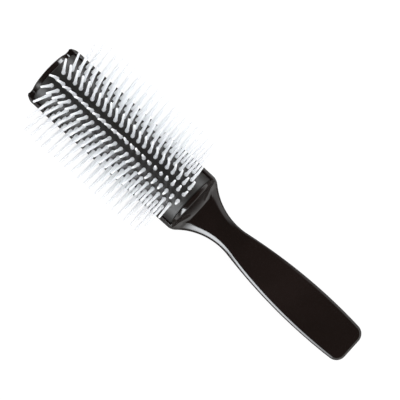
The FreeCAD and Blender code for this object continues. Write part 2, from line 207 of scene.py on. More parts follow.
@dataclass(frozen=True)
class MouldedAbs(MouldedFinish):
    """Injection-moulded ABS from a polished tool: nearly black brown, wet-looking, with crisp lights.

    A faint orange peel, about 2.5 mm from hump to hump, lets long reflections waver a little, and
    handling leaves soft, slightly duller patches.
    """

    name: str = "abs_moulded_gloss"
    dark: str = "#120b08"
    pale: str = "#180f0c"
    roughness: float = 0.1
    patch_roughness: float = 0.18
    ior: float = 1.54
    patch_mm: float = 38.0
    patch_detail: float = 3.0
    relief_mm: float = 2.5
    relief_detail: float = 1.0
    relief_depth_mm: float = 0.004
    patch_from: float = 0.35
    patch_to: float = 0.7


@dataclass(frozen=True)
class MouldedRubber(MouldedFinish):
    """Moulded synthetic rubber: charcoal, satin, with a fine tooled grain and a broad grey sheen.

    The real grain is too fine to show. It is drawn about 0.35 mm across, coarse enough to be seen
    close up, and from further away it only softens the lights.
    """

    name: str = "rubber_moulded_satin"
    dark: str = "#120f0c"
    pale: str = "#1d1a17"
    roughness: float = 0.38
    patch_roughness: float = 0.5
    ior: float = 1.48
    patch_mm: float = 14.0
    patch_detail: float = 4.0
    relief_mm: float = 0.35
    relief_detail: float = 2.0
    relief_depth_mm: float = 0.012


@dataclass(frozen=True)
class MouldedNylon:
    """Injection-moulded natural nylon: milky white, translucent and satin.

    Light enters and spreads about a millimetre, so thin shafts glow and the thick knobs, with the
    dark rubber round them, look a little greyer. That grey is painted shade in the knobs' colour.
    """

    axis_height: float
    shaft: str = "#f7f8fa"
    # painted shade: the knobs' colour is greyer than the shaft's to stand for the shade of the dark rubber
    # round them
    knob_shade: str = "#f1f2f3"
    roughness: float = 0.3
    ior: float = 1.53
    spread_mm: float = 0.8
    depth_weight: float = 0.35
    # distances from the arch's axis over which the painted shade on the knobs gives way to the shaft's colour
    knob_from: float = 17.4
    knob_to: float = 21.0

    def material(self) -> bpy.types.Material:
        """Builds the finish. The colour follows the distance from the arch's axis, a root of y and z.

        Returns:
            The material.
        """
        made, tree = new_material("nylon_moulded_milky")
        place = add_node(tree, "ShaderNodeTexCoord").outputs["Object"]
        shift = {0: place, 1: (0.0, 0.0, -self.axis_height * MM)}
        centred = add_node(tree, "ShaderNodeVectorMath", shift, operation="ADD").outputs[0]
        across = {0: centred, 1: (0.0, 1.0, 1.0)}
        flat = add_node(tree, "ShaderNodeVectorMath", across, operation="MULTIPLY").outputs[0]
        reach = add_node(tree, "ShaderNodeVectorMath", {0: flat}, operation="LENGTH").outputs["Value"]
        # the colour greys towards the knobs as painted shade, not as the nylon's own colour
        ends = {"Value": reach, "From Min": self.knob_from * MM, "From Max": self.knob_to * MM}
        out = add_node(tree, "ShaderNodeMapRange", ends).outputs[0]
        tones = {"Factor": out, MIX_FIRST: linear(self.knob_shade), MIX_SECOND: linear(self.shaft)}
        colour = add_node(tree, "ShaderNodeMix", tones, data_type="RGBA").outputs[MIX_RESULT]
        inputs = {
            "Base Color": colour,
            "Roughness": self.roughness,
            "IOR": self.ior,
            "Subsurface Weight": self.depth_weight,
            "Subsurface Radius": (1.0, 1.0, 1.0),
            "Subsurface Scale": self.spread_mm * MM,
        }
        shader = add_node(tree, "ShaderNodeBsdfPrincipled", inputs)
        add_node(tree, "ShaderNodeOutputMaterial", {"Surface": shader.outputs[0]})
        return made


# Meshes from grids of points


def grid_faces(shape: tuple[int, ...], first: int) -> np.ndarray:
    """Numbers the quads of one or more grids of points.

    Args:
        shape: Rows and columns, with any number of leading counts of grids.
        first: The number of the first point.

    Returns:
        One line of four point numbers for each quad.
    """
    numbers = first + np.arange(int(np.prod(shape))).reshape(shape)
    corners = (numbers[..., :-1, :-1], numbers[..., :-1, 1:], numbers[..., 1:, 1:], numbers[..., 1:, :-1])
    return np.stack([corner.ravel() for corner in corners], axis=1)


def weld(points: np.ndarray, quads: np.ndarray) -> tuple[np.ndarray, list[list[int]]]:
    """Joins points that coincide and drops the corners and faces that this empties.

    Args:
        points: Points in millimetres.
        quads: Four point numbers a line.

    Returns:
        The points left, and the faces as lists of three or four numbers.
    """
    cells = np.round(points / WELD).astype(np.int64)
    _, keep, number = np.unique(cells, axis=0, return_index=True, return_inverse=True)
    joined = number.reshape(-1)[quads]
    repeats = joined == np.roll(joined, -1, axis=1)
    folded = (joined[:, 0] == joined[:, 2]) | (joined[:, 1] == joined[:, 3])
    whole = joined[(repeats.sum(1) == 0) & ~folded]
    thin = (repeats.sum(1) == 1) & ~folded
    threes = joined[thin][~repeats[thin]].reshape(-1, 3)
    return points[keep], whole.tolist() + threes.tolist()


def surface(name: str, patches: list[np.ndarray], finish: bpy.types.Material) -> bpy.types.Object:
    """Makes one smooth piece of closed grids of points.

    Args:
        name: The piece's name.
        patches: Grids of points in millimetres, rows by columns by three, or stacks of such grids.
        finish: Its material.

    Returns:
        The object, at the origin, with its faces pointing outwards and its crisp edges marked.
    """
    counts = np.cumsum([0] + [patch[..., 0].size for patch in patches])
    points = np.concatenate([patch.reshape(-1, 3) for patch in patches])
    quads = np.concatenate([grid_faces(patch.shape[:-1], first) for patch, first in zip(patches, counts)])
    points, faces = weld(points, quads)
    mesh = bpy.data.meshes.new(name)
    mesh.from_pydata((points * MM).tolist(), [], faces)
    work = bmesh.new()
    work.from_mesh(mesh)
    bmesh.ops.recalc_face_normals(work, faces=work.faces)
    open_edges = sum(1 for edge in work.edges if not edge.is_manifold)
    work.to_mesh(mesh)
    work.free()
    mesh.shade_smooth()
    mesh.set_sharp_from_angle(angle=SHARP_ANGLE)
    mesh.materials.append(finish)
    made = bpy.data.objects.new(name, mesh)
    bpy.context.scene.collection.objects.link(made)
    LOG.info("%s: %d faces, %d open edges", name, len(mesh.polygons), open_edges)
    return made


def rounded(corners: np.ndarray, cuts: np.ndarray, samples: int) -> np.ndarray:
    """Rounds the inner corners of many open outlines at once.

    Each corner becomes the parabola that leaves one side a cut before it and joins the next side a
    cut after it: (1 - t) squared of the start, 2 t (1 - t) of the corner, t squared of the end.

    Args:
        corners: Outlines by corners by three.
        cuts: The cut at each inner corner, held under CUT_LIMIT of each side.
        samples: Points on each parabola.

    Returns:
        Outlines by points by three, with the two end corners kept.
    """
    mid = corners[:, 1:-1]
    ends = []
    for other in (corners[:, :-2], corners[:, 2:]):
        side = other - mid
        length = np.maximum(np.linalg.norm(side, axis=2, keepdims=True), SHORTEST)
        ends.append(mid + side / length * np.minimum(cuts[..., None], CUT_LIMIT * length))
    t = np.linspace(0.0, 1.0, samples)[None, None, :, None]
    start, middle, end = ends[0][:, :, None], mid[:, :, None], ends[1][:, :, None]
    bent = (1 - t) ** 2 * start + 2 * t * (1 - t) * middle + t**2 * end
    return np.concatenate([corners[:, :1], bent.reshape(len(corners), -1, 3), corners[:, -1:]], axis=1)


def through(places: Sequence[float], values: Sequence[float], at: np.ndarray) -> np.ndarray:
    """A smooth curve through points, with no overshoot.

    Between two points it is the cubic with a given slope at each, and each slope is the harmonic
    mean of the slopes of the two chords that meet there, or zero where they turn.

    Args:
        places: Where the points are, rising.
        values: Their values.
        at: Where the curve is wanted. Beyond the ends it stays level.

    Returns:
        The values there.
    """
    x, y = np.asarray(places, float), np.asarray(values, float)
    step = np.diff(x)
    chord = np.diff(y) / step
    both = chord[:-1] * chord[1:] > 0
    total = np.where(both, chord[:-1] + chord[1:], 1.0)
    slope = np.concatenate([[0.0], np.where(both, 2 * chord[:-1] * chord[1:] / total, 0.0), [0.0]])
    spot = np.clip(at, x[0], x[-1])
    k = np.clip(np.searchsorted(x, spot, side="right") - 1, 0, len(step) - 1)
    t = (spot - x[k]) / step[k]
    rise = (3 * t**2 - 2 * t**3) * (y[k + 1] - y[k])
    bend = step[k] * (slope[k] * (t**3 - 2 * t**2 + t) + slope[k + 1] * (t**3 - t**2))
    return y[k] + rise + bend


def eased(value: np.ndarray) -> np.ndarray:
    """Zero to one along 3 t squared less 2 t cubed, and level outside."""
    t = np.clip(value, 0.0, 1.0)
    return t * t * (3 - 2 * t)


# The brush


@dataclass(frozen=True)
class Arch:
    """The arch that dome, pad, strips and pins share: circles about one axis along the brush."""

    axis_height: float = 4.8
    pad_radius: float = 17.6
    pad_thickness: float = 1.6
    dome_radius: float = 14.8
    bore_radius: float = 13.2
    collar_radius: float = 17.9
    groove_floor: float = 11.6
    row_step: float = math.radians(14.4)
    # the collar's face leans: at lean_top it stands at its place, and at the groove's floor lean behind
    lean: float = 2.4
    lean_top: float = 23.4

    def half_at(self, radius: float, height: float) -> float:
        """Half the width of a circle of the arch at a height."""
        return math.sqrt(radius**2 - (height - self.axis_height) ** 2)

    def lean_at(self, height: np.ndarray) -> np.ndarray:
        """How far behind its place the collar's leaning face stands at a height."""
        return self.lean * ((self.lean_top - height) / (self.lean_top - self.groove_floor))


@dataclass
class MouldedBody:
    """The one-piece moulding: hollow head with dome and rails, collar, shoulder and handle."""

    arch: Arch
    length: float
    # the end of the head: its corners in plan and its rounded edge, drawn in about a point tip_middle up
    tip_corner: float = 3.0
    tip_round: float = 0.8
    tip_reach: float = 16.0
    tip_middle: float = 8.0
    # the collar's face and back edge, and the end of the slope from there to the handle's flat
    pad_end: float = 99.8
    collar_end: float = 102.8
    slope_end: float = 108.0
    handle_top: float = 11.0
    # the outline in plan: half widths, places and radii of its arcs
    head_half: float = 18.5
    shoulder_round: float = 7.0
    neck_place: float = 130.2
    neck_half: float = 7.45
    neck_round: float = 36.0
    grip_half: float = 12.6
    grip_round: float = 318.0
    heel_corner: float = 6.0
    heel_middle: float = 217.2
    # the hollow along the handle's back, and the one in the head
    bow_start: float = 110.2
    bow_end: float = 212.2
    bow_rise: float = 1.2
    hollow_end: float = 97.6
    # its section below its two shelves, and the shelves
    hollow_corners: tuple = ((0.0, 4.7), (15.0, 4.7), (16.6, 5.8), (16.6, 6.8), (16.6, 7.8))
    shelf_half: float = 15.7
    shelf_thickness: float = 1.5
    # the gate mark in its end wall
    gate_radius: float = 0.9
    gate_depth: float = 0.8
    gate_height: float = 9.3
    # the fillet at the foot of the dome, and how far the collar's arch is drawn in at its face
    foot_fillet: float = 0.8
    collar_draft: float = 0.08
    # points on each corner of a section and over its arch, where they crowd towards the foot
    corner_samples: int = 6
    dome_samples: int = 41
    dome_crowding: float = 1.5
    # the head's corners from the underside up: half width, height and cut
    head_corners: tuple = (
        (7.0, 0.0, 2.0), (12.7, 0.9, 1.6), (15.9, 4.0, 0.7), (17.8, 4.7, 0.35), (18.5, 5.8, 0.6),
        (18.3, 7.8, 1.2), (17.24, 11.6, 0.0), (16.9, 12.8, 0.4), (15.77, 12.8, 0.3), (16.32, 11.6, 0.1),
    )
    # which of them begin the top of the rail and the groove
    rail_corner: int = 7
    groove_corner: int = 8
    # what the last corners become on the collar, where the groove is filled
    collar_corners: tuple = ((16.01, 12.8, 0.3), (15.6, 13.58, 0.2))
    collar_foot: tuple = (14.9, 14.72)
    # the handle's low corners: distance in from the outline, height, cut
    handle_low: tuple = (
        (5.4, 0.0, 1.6), (3.6, 0.0, 1.5), (1.3, 1.5, 1.2), (0.35, 3.4, 0.9), (0.0, 5.2, 0.8), (0.0, 6.6, 1.0),
    )
    # the stretch over which the low ones leave their places on the head
    low_start: float = 98.2
    low_span: float = 22.0
    # its high ones, along the bevel: distance in and drop below the flat as shares of its width, cut
    handle_high: tuple = ((0.03, 0.75, 0.5), (0.09, 0.58, 0.4), (0.26, 0.31, 0.4), (0.62, 0.15, 0.5))
    bevel_drop_most: float = 4.0
    # the drop from collar to flat: places behind the collar's edge, and shares of the whole drop
    drop_places: tuple = (-0.6, -0.3, -0.1, 0.05, 1.1, 1.6, 5.0, 5.2)
    drop_shares: tuple = (0.0, 0.01, 0.03, 0.07, 0.52, 0.62, 0.985, 1.0)
    # the same towards the outline, where the fold at the foot of the slope dissolves
    side_places: tuple = (-0.6, -0.3, -0.1, 0.05, 1.1, 1.6, 5.0, 11.5)
    side_shares: tuple = (0.0, 0.01, 0.03, 0.07, 0.52, 0.62, 0.92, 1.0)
    side_span: float = 0.22
    # the width of the bevel round the handle's flat
    bevel_places: tuple = (108.0, 115.0, 123.0, 135.0, 152.0, 183.0, 220.2)
    bevel_widths: tuple = (5.6, 3.95, 3.2, 2.35, 1.9, 1.65, 1.5)
    # sections in the hollow and along the head, and how many cross its end face, go up the rails'
    # ends and go round the edge
    hollow_places: tuple = (66.0, 33.0)
    head_places: tuple = (1.4, 2.4, 4.0, 8.0, 25.0, 50.0, 75.0, 94.0)
    end_counts: tuple = (7, 4, 6)
    # how many stand at the collar's edge, as far as crest_end behind it, then on the slope, the
    # shoulder and the grip, and how many go round the heel's corner and along its end
    crest_end: float = 0.1
    section_counts: tuple = (8, 22, 30, 40)
    heel_counts: tuple = (14, 8)

    def grip_centre(self) -> tuple[float, float]:
        """The centre, as place and half width, of the grip's arc, which touches the neck's."""
        up = self.grip_half - self.grip_round
        rise = self.neck_half + self.neck_round - up
        return self.neck_place + math.sqrt((self.neck_round + self.grip_round) ** 2 - rise**2), up

    def outline(self, place: np.ndarray) -> np.ndarray:
        """Half the width in plan, from the tip to the heel's corner.

        A straight side, a convex shoulder arc, a concave neck arc and a long convex grip arc, each
        tangent to the next.

        Args:
            place: Distances from the tip.

        Returns:
            The half width at each of them.
        """
        neck = (self.neck_place, self.neck_half + self.neck_round)
        grip = self.grip_centre()
        up = self.head_half - self.shoulder_round
        reach = self.neck_round + self.shoulder_round
        shoulder = (neck[0] - math.sqrt(reach**2 - (neck[1] - up) ** 2), up)
        first = shoulder[0] + (neck[0] - shoulder[0]) * self.shoulder_round / reach
        second = neck[0] + (grip[0] - neck[0]) * self.neck_round / (self.neck_round + self.grip_round)

        def circle(centre: tuple[float, float], radius: float, sign: float) -> np.ndarray:
            """The upper or lower half of a circle."""
            inside = np.maximum(radius**2 - (place - centre[0]) ** 2, 0.0)
            return centre[1] + sign * np.sqrt(inside)

        stretches = [place <= shoulder[0], place <= first, place <= second]
        straight = np.full_like(place, self.head_half)
        bends = [circle(shoulder, self.shoulder_round, 1.0), circle(neck, self.neck_round, -1.0)]
        return np.select(stretches, [straight, *bends], circle(grip, self.grip_round, 1.0))

    def heel_centre(self) -> tuple[float, float, float]:
        """Finds the heel's corner arc, which touches the grip's arc from inside and the end.

        Returns:
            The centre's place and half width, and the place where the grip's arc runs into it.
        """
        grip_place, grip_up = self.grip_centre()
        along = self.length - self.heel_corner
        inner = self.grip_round - self.heel_corner
        up = grip_up + math.sqrt(inner**2 - (along - grip_place) ** 2)
        meets = along + (along - grip_place) * self.heel_corner / inner
        return along, up, meets

    def stations(self) -> tuple[np.ndarray, np.ndarray, np.ndarray]:
        """Where the sections of shoulder and handle stand.

        Returns:
            For each section, its point on the outline, the direction inwards there and its point on
            the middle line. They go straight across up to the heel, then fan round its corner.
        """
        along, up, meets = self.heel_centre()
        collar = self.collar_end
        crest = (collar + self.drop_places[0], collar + self.crest_end)
        stops = (*crest, self.slope_end, self.neck_place, meets)
        runs = [np.linspace(*ends)[1:] for ends in zip(stops, stops[1:], self.section_counts)]
        places = np.concatenate([stops[:1], *runs])
        edge = np.stack([places, self.outline(places)], axis=1)
        inward = np.tile([0.0, -1.0], (len(places), 1))
        middle = np.stack([places, np.zeros_like(places)], axis=1)

        start = math.acos((meets - along) / self.heel_corner)
        turn = np.linspace(start, 0.0, self.heel_counts[0])[1:]
        outward = np.stack([np.cos(turn), np.sin(turn)], axis=1)
        round_edge = np.array([along, up]) + self.heel_corner * outward
        straight = np.linspace(up, 0.0, self.heel_counts[1])[1:]
        end_edge = np.stack([np.full_like(straight, self.length), straight], axis=1)
        end_inward = np.tile([-1.0, 0.0], (len(straight), 1))
        heel = len(turn) + len(straight)
        heel_middle = np.stack([np.linspace(meets, self.heel_middle, heel + 1)[1:], np.zeros(heel)], axis=1)
        return (
            np.concatenate([edge, round_edge, end_edge]),
            np.concatenate([inward, -outward, end_inward]),
            np.concatenate([middle, heel_middle]),
        )

    def spread(self) -> np.ndarray:
        """Shares of the way from the foot of the dome to its crown, crowded towards the foot."""
        return np.linspace(0.0, 1.0, self.dome_samples) ** self.dome_crowding

    def arc(self, radius: float, half: float) -> np.ndarray:
        """Points of a circle of the arch from a half width up to its crown, as half width and height."""
        turn = math.asin(half / radius) * (1 - self.spread())
        return np.stack([radius * np.sin(turn), self.arch.axis_height + radius * np.cos(turn)], axis=1)

    def first_point(self, corner: int) -> int:
        """The number of a corner's first point in a section of the head. The dome's foot is the last."""
        return 1 + corner * self.corner_samples

    def head_section(self, collar: bool) -> np.ndarray:
        """The outer half section of the head, as columns of half width and height.

        Args:
            collar: Whether the groove is filled and the dome stands at the collar's height.

        Returns:
            Points from the middle of the underside round to the crown. The groove's floor runs up
            into the dome on a fillet, a parabola.
        """
        corners = list(self.head_corners)
        floor = self.arch.groove_floor
        if collar:
            corners = corners[:-2] + list(self.collar_corners)
            dome = self.arc(self.arch.collar_radius, self.collar_foot[0])
        else:
            dome = self.arc(self.arch.dome_radius, self.arch.half_at(self.arch.dome_radius, floor))
            near = np.clip(1 - (dome[:, 1] - floor) / self.foot_fillet, 0.0, 1.0)
            dome[:, 0] += self.foot_fillet * near**2
        outline = [(0.0, 0.0, 0.0)] + [(0.0, half, high) for half, high, _ in corners] + [(0.0, *dome[0])]
        cuts = np.array([[cut for *_, cut in corners]])
        low = rounded(np.array(outline)[None], cuts, self.corner_samples)[0][:, 1:]
        return np.concatenate([low, dome])

    def hollow_section(self) -> np.ndarray:
        """The inner half section of the head.

        Returns:
            Half widths and heights, with a point for each point of the outer section.
        """
        n = self.corner_samples
        shelf = self.arch.groove_floor - self.shelf_thickness
        bore = self.arch.half_at(self.arch.bore_radius, shelf)
        corners = [*self.hollow_corners, (self.shelf_half, shelf), (self.shelf_half, shelf)]
        counts = (3 * n + 1, n, n, n, n, 3 * n)
        low = [np.linspace(*ends) for ends in zip(corners, corners[1:], counts)]
        return np.concatenate([*low, [(bore, shelf)], self.arc(self.arch.bore_radius, bore)])

    def tip_place(self, half: np.ndarray) -> np.ndarray:
        """The place where the head's end lies at a half width: a quarter circle round each corner."""
        over = np.maximum(half - (self.head_half - self.tip_corner), 0.0)
        return self.tip_corner - np.sqrt(np.maximum(self.tip_corner**2 - over**2, 0.0))

    def shrunk(self, section: np.ndarray, drop: float) -> np.ndarray:
        """A section drawn in about a point on the middle line, by about drop at its rim."""
        centre = np.array([0.0, self.tip_middle])
        return centre + (section - centre) * (1 - drop / self.tip_reach)

    def head_rows(self) -> list[np.ndarray]:
        """Lays out the head's surface, from the hollow's end wall to the tip and back to the collar.

        Returns:
            Rows of points, each with a point for each point of a section.
        """
        outer, filled, inner = self.head_section(False), self.head_section(True), self.hollow_section()
        columns = len(outer)

        def row(section: np.ndarray, place: np.ndarray | float) -> np.ndarray:
            """A section stood at a place, or at a place for each of its points."""
            return np.column_stack([np.broadcast_to(place, columns), section])

        centre = np.array([0.0, self.gate_height])
        spoke = inner - centre
        gate = centre + spoke / np.linalg.norm(spoke, axis=1, keepdims=True) * self.gate_radius
        deep = self.hollow_end + self.gate_depth
        rows = [row(np.tile(centre, (columns, 1)), deep), row(gate, deep), row(gate, self.hollow_end)]
        rows += [row(inner, place) for place in (self.hollow_end, *self.hollow_places)]

        # the end face: first out to the level of the groove's floor, then up the ends of the rails
        rim = self.shrunk(outer, self.tip_round)
        root = rim.copy()
        rail = slice(self.first_point(self.rail_corner), self.first_point(len(self.head_corners)))
        root[rail] = np.linspace(rim[rail.start - 1], rim[rail.stop - 1], rail.stop - rail.start)
        out, up, bend = (np.linspace(0.0, 1.0, count) for count in self.end_counts)
        for near, far, steps in ((inner, root, out), (root, rim, up[1:])):
            for t in steps:
                section = near + (far - near) * t
                rows.append(row(section, self.tip_place(section[:, 0])))

        # the rounded edge of the end, a quarter circle, then the length of the head
        start = self.tip_place(outer[:, 0])
        for turn in bend[1:] * math.pi / 2:
            drop = self.tip_round * (1 - math.sin(turn))
            rows.append(row(self.shrunk(outer, drop), start + self.tip_round * (1 - math.cos(turn))))
        rows += [row(outer, np.maximum(start + self.tip_round, place)) for place in self.head_places]
        numbers = np.arange(columns)
        behind = numbers >= self.first_point(self.groove_corner)
        on_dome = numbers >= self.first_point(len(self.head_corners))
        axis = np.array([0.0, self.arch.axis_height])
        drawn_in = axis + (filled - axis) * (1 - self.collar_draft / self.arch.collar_radius)
        drafted = np.where(on_dome[:, None], drawn_in, filled)
        for section in (outer, drafted):
            rows.append(row(section, self.pad_end + np.where(behind, self.arch.lean_at(section[:, 1]), 0.0)))
        return rows

    def handle_rows(self) -> np.ndarray:
        """Lays out shoulder and handle, from the collar's edge round the heel to the middle line.

        A corner lies a distance in from the outline. On the shoulder it moves from its place on the
        head to its place on the handle. The low ones follow an eased curve that reaches far both
        ways, the rail's a straight share of the way, and the collar's the steep drop and the
        gentler slope behind its rounded edge. That slope ends on a fold in the middle and runs out
        softly towards the outline.

        Returns:
            Rows of points, with as many in each as in a section of the head.
        """
        edge, inward, middle = self.stations()
        place = edge[:, 0]
        slope = np.clip((place - self.collar_end) / (self.slope_end - self.collar_end), 0.0, 1.0)
        low_share = eased((place - self.low_start) / self.low_span)
        drop = through(self.drop_places, self.drop_shares, place - self.collar_end)
        side = through(self.side_places, self.side_shares, place - self.collar_end)
        bevel = through(self.bevel_places, self.bevel_widths, place)
        widen = edge[:, 1] / self.head_half
        corners = list(self.head_corners[:-2]) + list(self.collar_corners)
        lows = len(self.handle_low)

        def at_inset(inset: np.ndarray, height: np.ndarray | float) -> np.ndarray:
            """The points a distance in from the outline at a height."""
            spot = edge + inward * np.asarray(inset)[:, None]
            return np.column_stack([spot, np.broadcast_to(height, len(edge))])

        def on_head(half: float, height: float) -> np.ndarray:
            """The points that a corner of the head's section would have, narrowed as the outline is."""
            return np.column_stack([place, half * widen, np.full(len(edge), height)])

        ground = np.column_stack([middle, np.zeros(len(edge))])
        points, cuts = [ground], []
        for index, (half, height, cut) in enumerate(corners):
            if index < lows:
                inset, high, end_cut = self.handle_low[index]
                share, inset = low_share, np.full(len(edge), inset)
            else:
                inset, fall, end_cut = self.handle_high[index - lows]
                share = slope if index < self.groove_corner else side
                high = self.handle_top - fall * np.minimum(bevel, self.bevel_drop_most)
                inset = bevel * inset
            goal = at_inset(inset, high)
            points.append(on_head(half, height) * (1 - share[:, None]) + goal * share[:, None])
            cuts.append(cut * (1 - share) + end_cut * share)
        flat_edge = at_inset(bevel, self.handle_top)
        foot = on_head(*self.collar_foot) * (1 - side[:, None]) + flat_edge * side[:, None]
        points.append(foot)
        outline = rounded(np.stack(points, axis=1), np.stack(cuts, axis=1), self.corner_samples)

        t = self.spread()[None, :, None]
        top = np.column_stack([middle, np.full(len(edge), self.handle_top)])
        flat = flat_edge[:, None] * (1 - t) + top[:, None] * t
        arc = self.arc(self.arch.collar_radius, self.collar_foot[0])
        crest = np.broadcast_arrays(place[:, None], arc[None, :, 0] * widen[:, None], arc[None, :, 1])
        fold = eased(t / self.side_span)
        drop = side[:, None, None] * (1 - fold) + drop[:, None, None] * fold
        whole = np.stack(crest, axis=2) * (1 - drop) + flat * drop
        rows = np.concatenate([outline, whole], axis=1)

        # the underside of the handle is hollowed lengthwise, on a parabola, and heights above follow
        mid, half_span = (self.bow_start + self.bow_end) / 2, (self.bow_end - self.bow_start) / 2
        bow = self.bow_rise * np.clip(1 - ((rows[..., 0] - mid) / half_span) ** 2, 0.0, None)
        rows[..., 2] += bow * np.clip(1 - rows[..., 2] / self.handle_top, 0.0, 1.0)
        return rows

    def build(self, finish: bpy.types.Material) -> bpy.types.Object:
        """Makes the moulding and sets it on the frame in place of the solid body.

        Args:
            finish: Its material.

        Returns:
            The piece.
        """
        half = np.concatenate([np.stack(self.head_rows()), self.handle_rows()])
        half[..., 0] -= self.length / 2
        made = surface("moulded_body", [half, half * np.array([1.0, -1.0, 1.0])], finish)
        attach(made, "root")
        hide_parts("body")
        return made


@dataclass(frozen=True)
class RowPlan:
    """Where one row of pins stands, and how its pins have come to lean."""

    node: str
    side: Side
    number: int
    count: int
    first: float
    # how far its tips lean across and along the brush, in mm, at even steps from tip to handle
    sway: tuple
    drift: tuple

    def angle(self, arch: Arch) -> float:
        """The row's angle from the vertical, positive to the right."""
        return self.side.value * self.number * arch.row_step


@dataclass
class RubberPad:
    """The arched rubber sheet, with a low lip round each pin."""

    arch: Arch
    rows: list[RowPlan]
    pitch: float
    length: float
    start: float = 3.4
    end: float = 99.7
    foot_height: float = 11.7
    # its rounded edge, its corners, which stop short of the collar, and its foot, which tucks in
    edge_round: float = 0.55
    hook_gap: float = 0.75
    hook_span: float = 2.8
    foot_tuck: float = 0.45
    foot_tuck_span: float = 1.9
    lip_rise: float = 0.2
    lip_radius: float = 1.35
    lip_width: float = 0.32
    step: float = 0.45
    # distances from an edge at which points lie, and from which on they are about a step apart
    edge_places: tuple = (0.0, 0.06, 0.16, 0.32, 0.55, 0.8)
    even_from: float = 1.1

    def edge_list(self, span: float) -> np.ndarray:
        """Spreads points over a span: close together at both ends, even between.

        Args:
            span: The length from edge to edge.

        Returns:
            Distances from 0 to the span.
        """
        near = np.array(self.edge_places)
        even = np.linspace(self.even_from, span - self.even_from, int(span / self.step))
        return np.concatenate([near, even, span - near[::-1]])

    def lips(self, place: np.ndarray, turn: np.ndarray) -> np.ndarray:
        """How far the sheet rises round its pins: a bell curve across a ring about each pin.

        Args:
            place: Distances from the tip.
            turn: Angles about the arch's axis.

        Returns:
            The rise at each pair of them.
        """
        rise = np.zeros(np.broadcast(place, turn).shape)
        for row in self.rows:
            across = self.arch.pad_radius * (turn - row.angle(self.arch))
            nearest = np.clip(np.round((place - row.first) / self.pitch), 0, row.count - 1)
            gap = np.hypot(place - row.first - nearest * self.pitch, across)
            rise += self.lip_rise * np.exp(-(((gap - self.lip_radius) / self.lip_width) ** 2))
        return rise

    def build(self, finish: bpy.types.Material) -> bpy.types.Object:
        """Makes the sheet and sets it on the frame in place of the solid pad.

        Args:
            finish: Its material.

        Returns:
            The piece.
        """
        arch = self.arch
        widest = math.acos((self.foot_height - arch.axis_height) / arch.pad_radius)
        reach = widest * arch.pad_radius
        around = self.edge_list(2 * reach) - reach
        turn = around[None, :] / arch.pad_radius
        height = arch.axis_height + arch.pad_radius * np.cos(turn)
        to_foot = reach - np.abs(around)[None, :]
        end = self.end + arch.lean_at(height) - self.hook_gap * eased(1 - to_foot / self.hook_span)
        along = self.edge_list(self.end - self.start)[:, None]
        place = self.start + along * (end - self.start) / (self.end - self.start)

        to_end = np.minimum(along, along[::-1])
        near = np.minimum(to_end, to_foot)
        drop = self.edge_round * np.clip(1 - near / self.edge_round, 0.0, 1.0) ** 2
        tuck = self.foot_tuck * eased(1 - to_foot / self.foot_tuck_span)
        top = arch.pad_radius - drop - tuck + self.lips(place, turn)
        under = np.full_like(top, arch.pad_radius - arch.pad_thickness)

        def shell(radius: np.ndarray) -> np.ndarray:
            """The sheet's points at a radius from the arch's axis."""
            across = radius * np.sin(turn)
            high = arch.axis_height + radius * np.cos(turn)
            return np.stack([place - self.length / 2, across, high], axis=2)

        outer, inner = shell(top), shell(under)
        rims = [np.stack([outer[0], inner[0]]), np.stack([outer[-1], inner[-1]])]
        rims += [np.stack([outer[:, 0], inner[:, 0]]), np.stack([outer[:, -1], inner[:, -1]])]
        made = surface("rubber_pad", [outer, inner, *rims], finish)
        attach(made, "root")
        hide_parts("pin_pad")
        return made


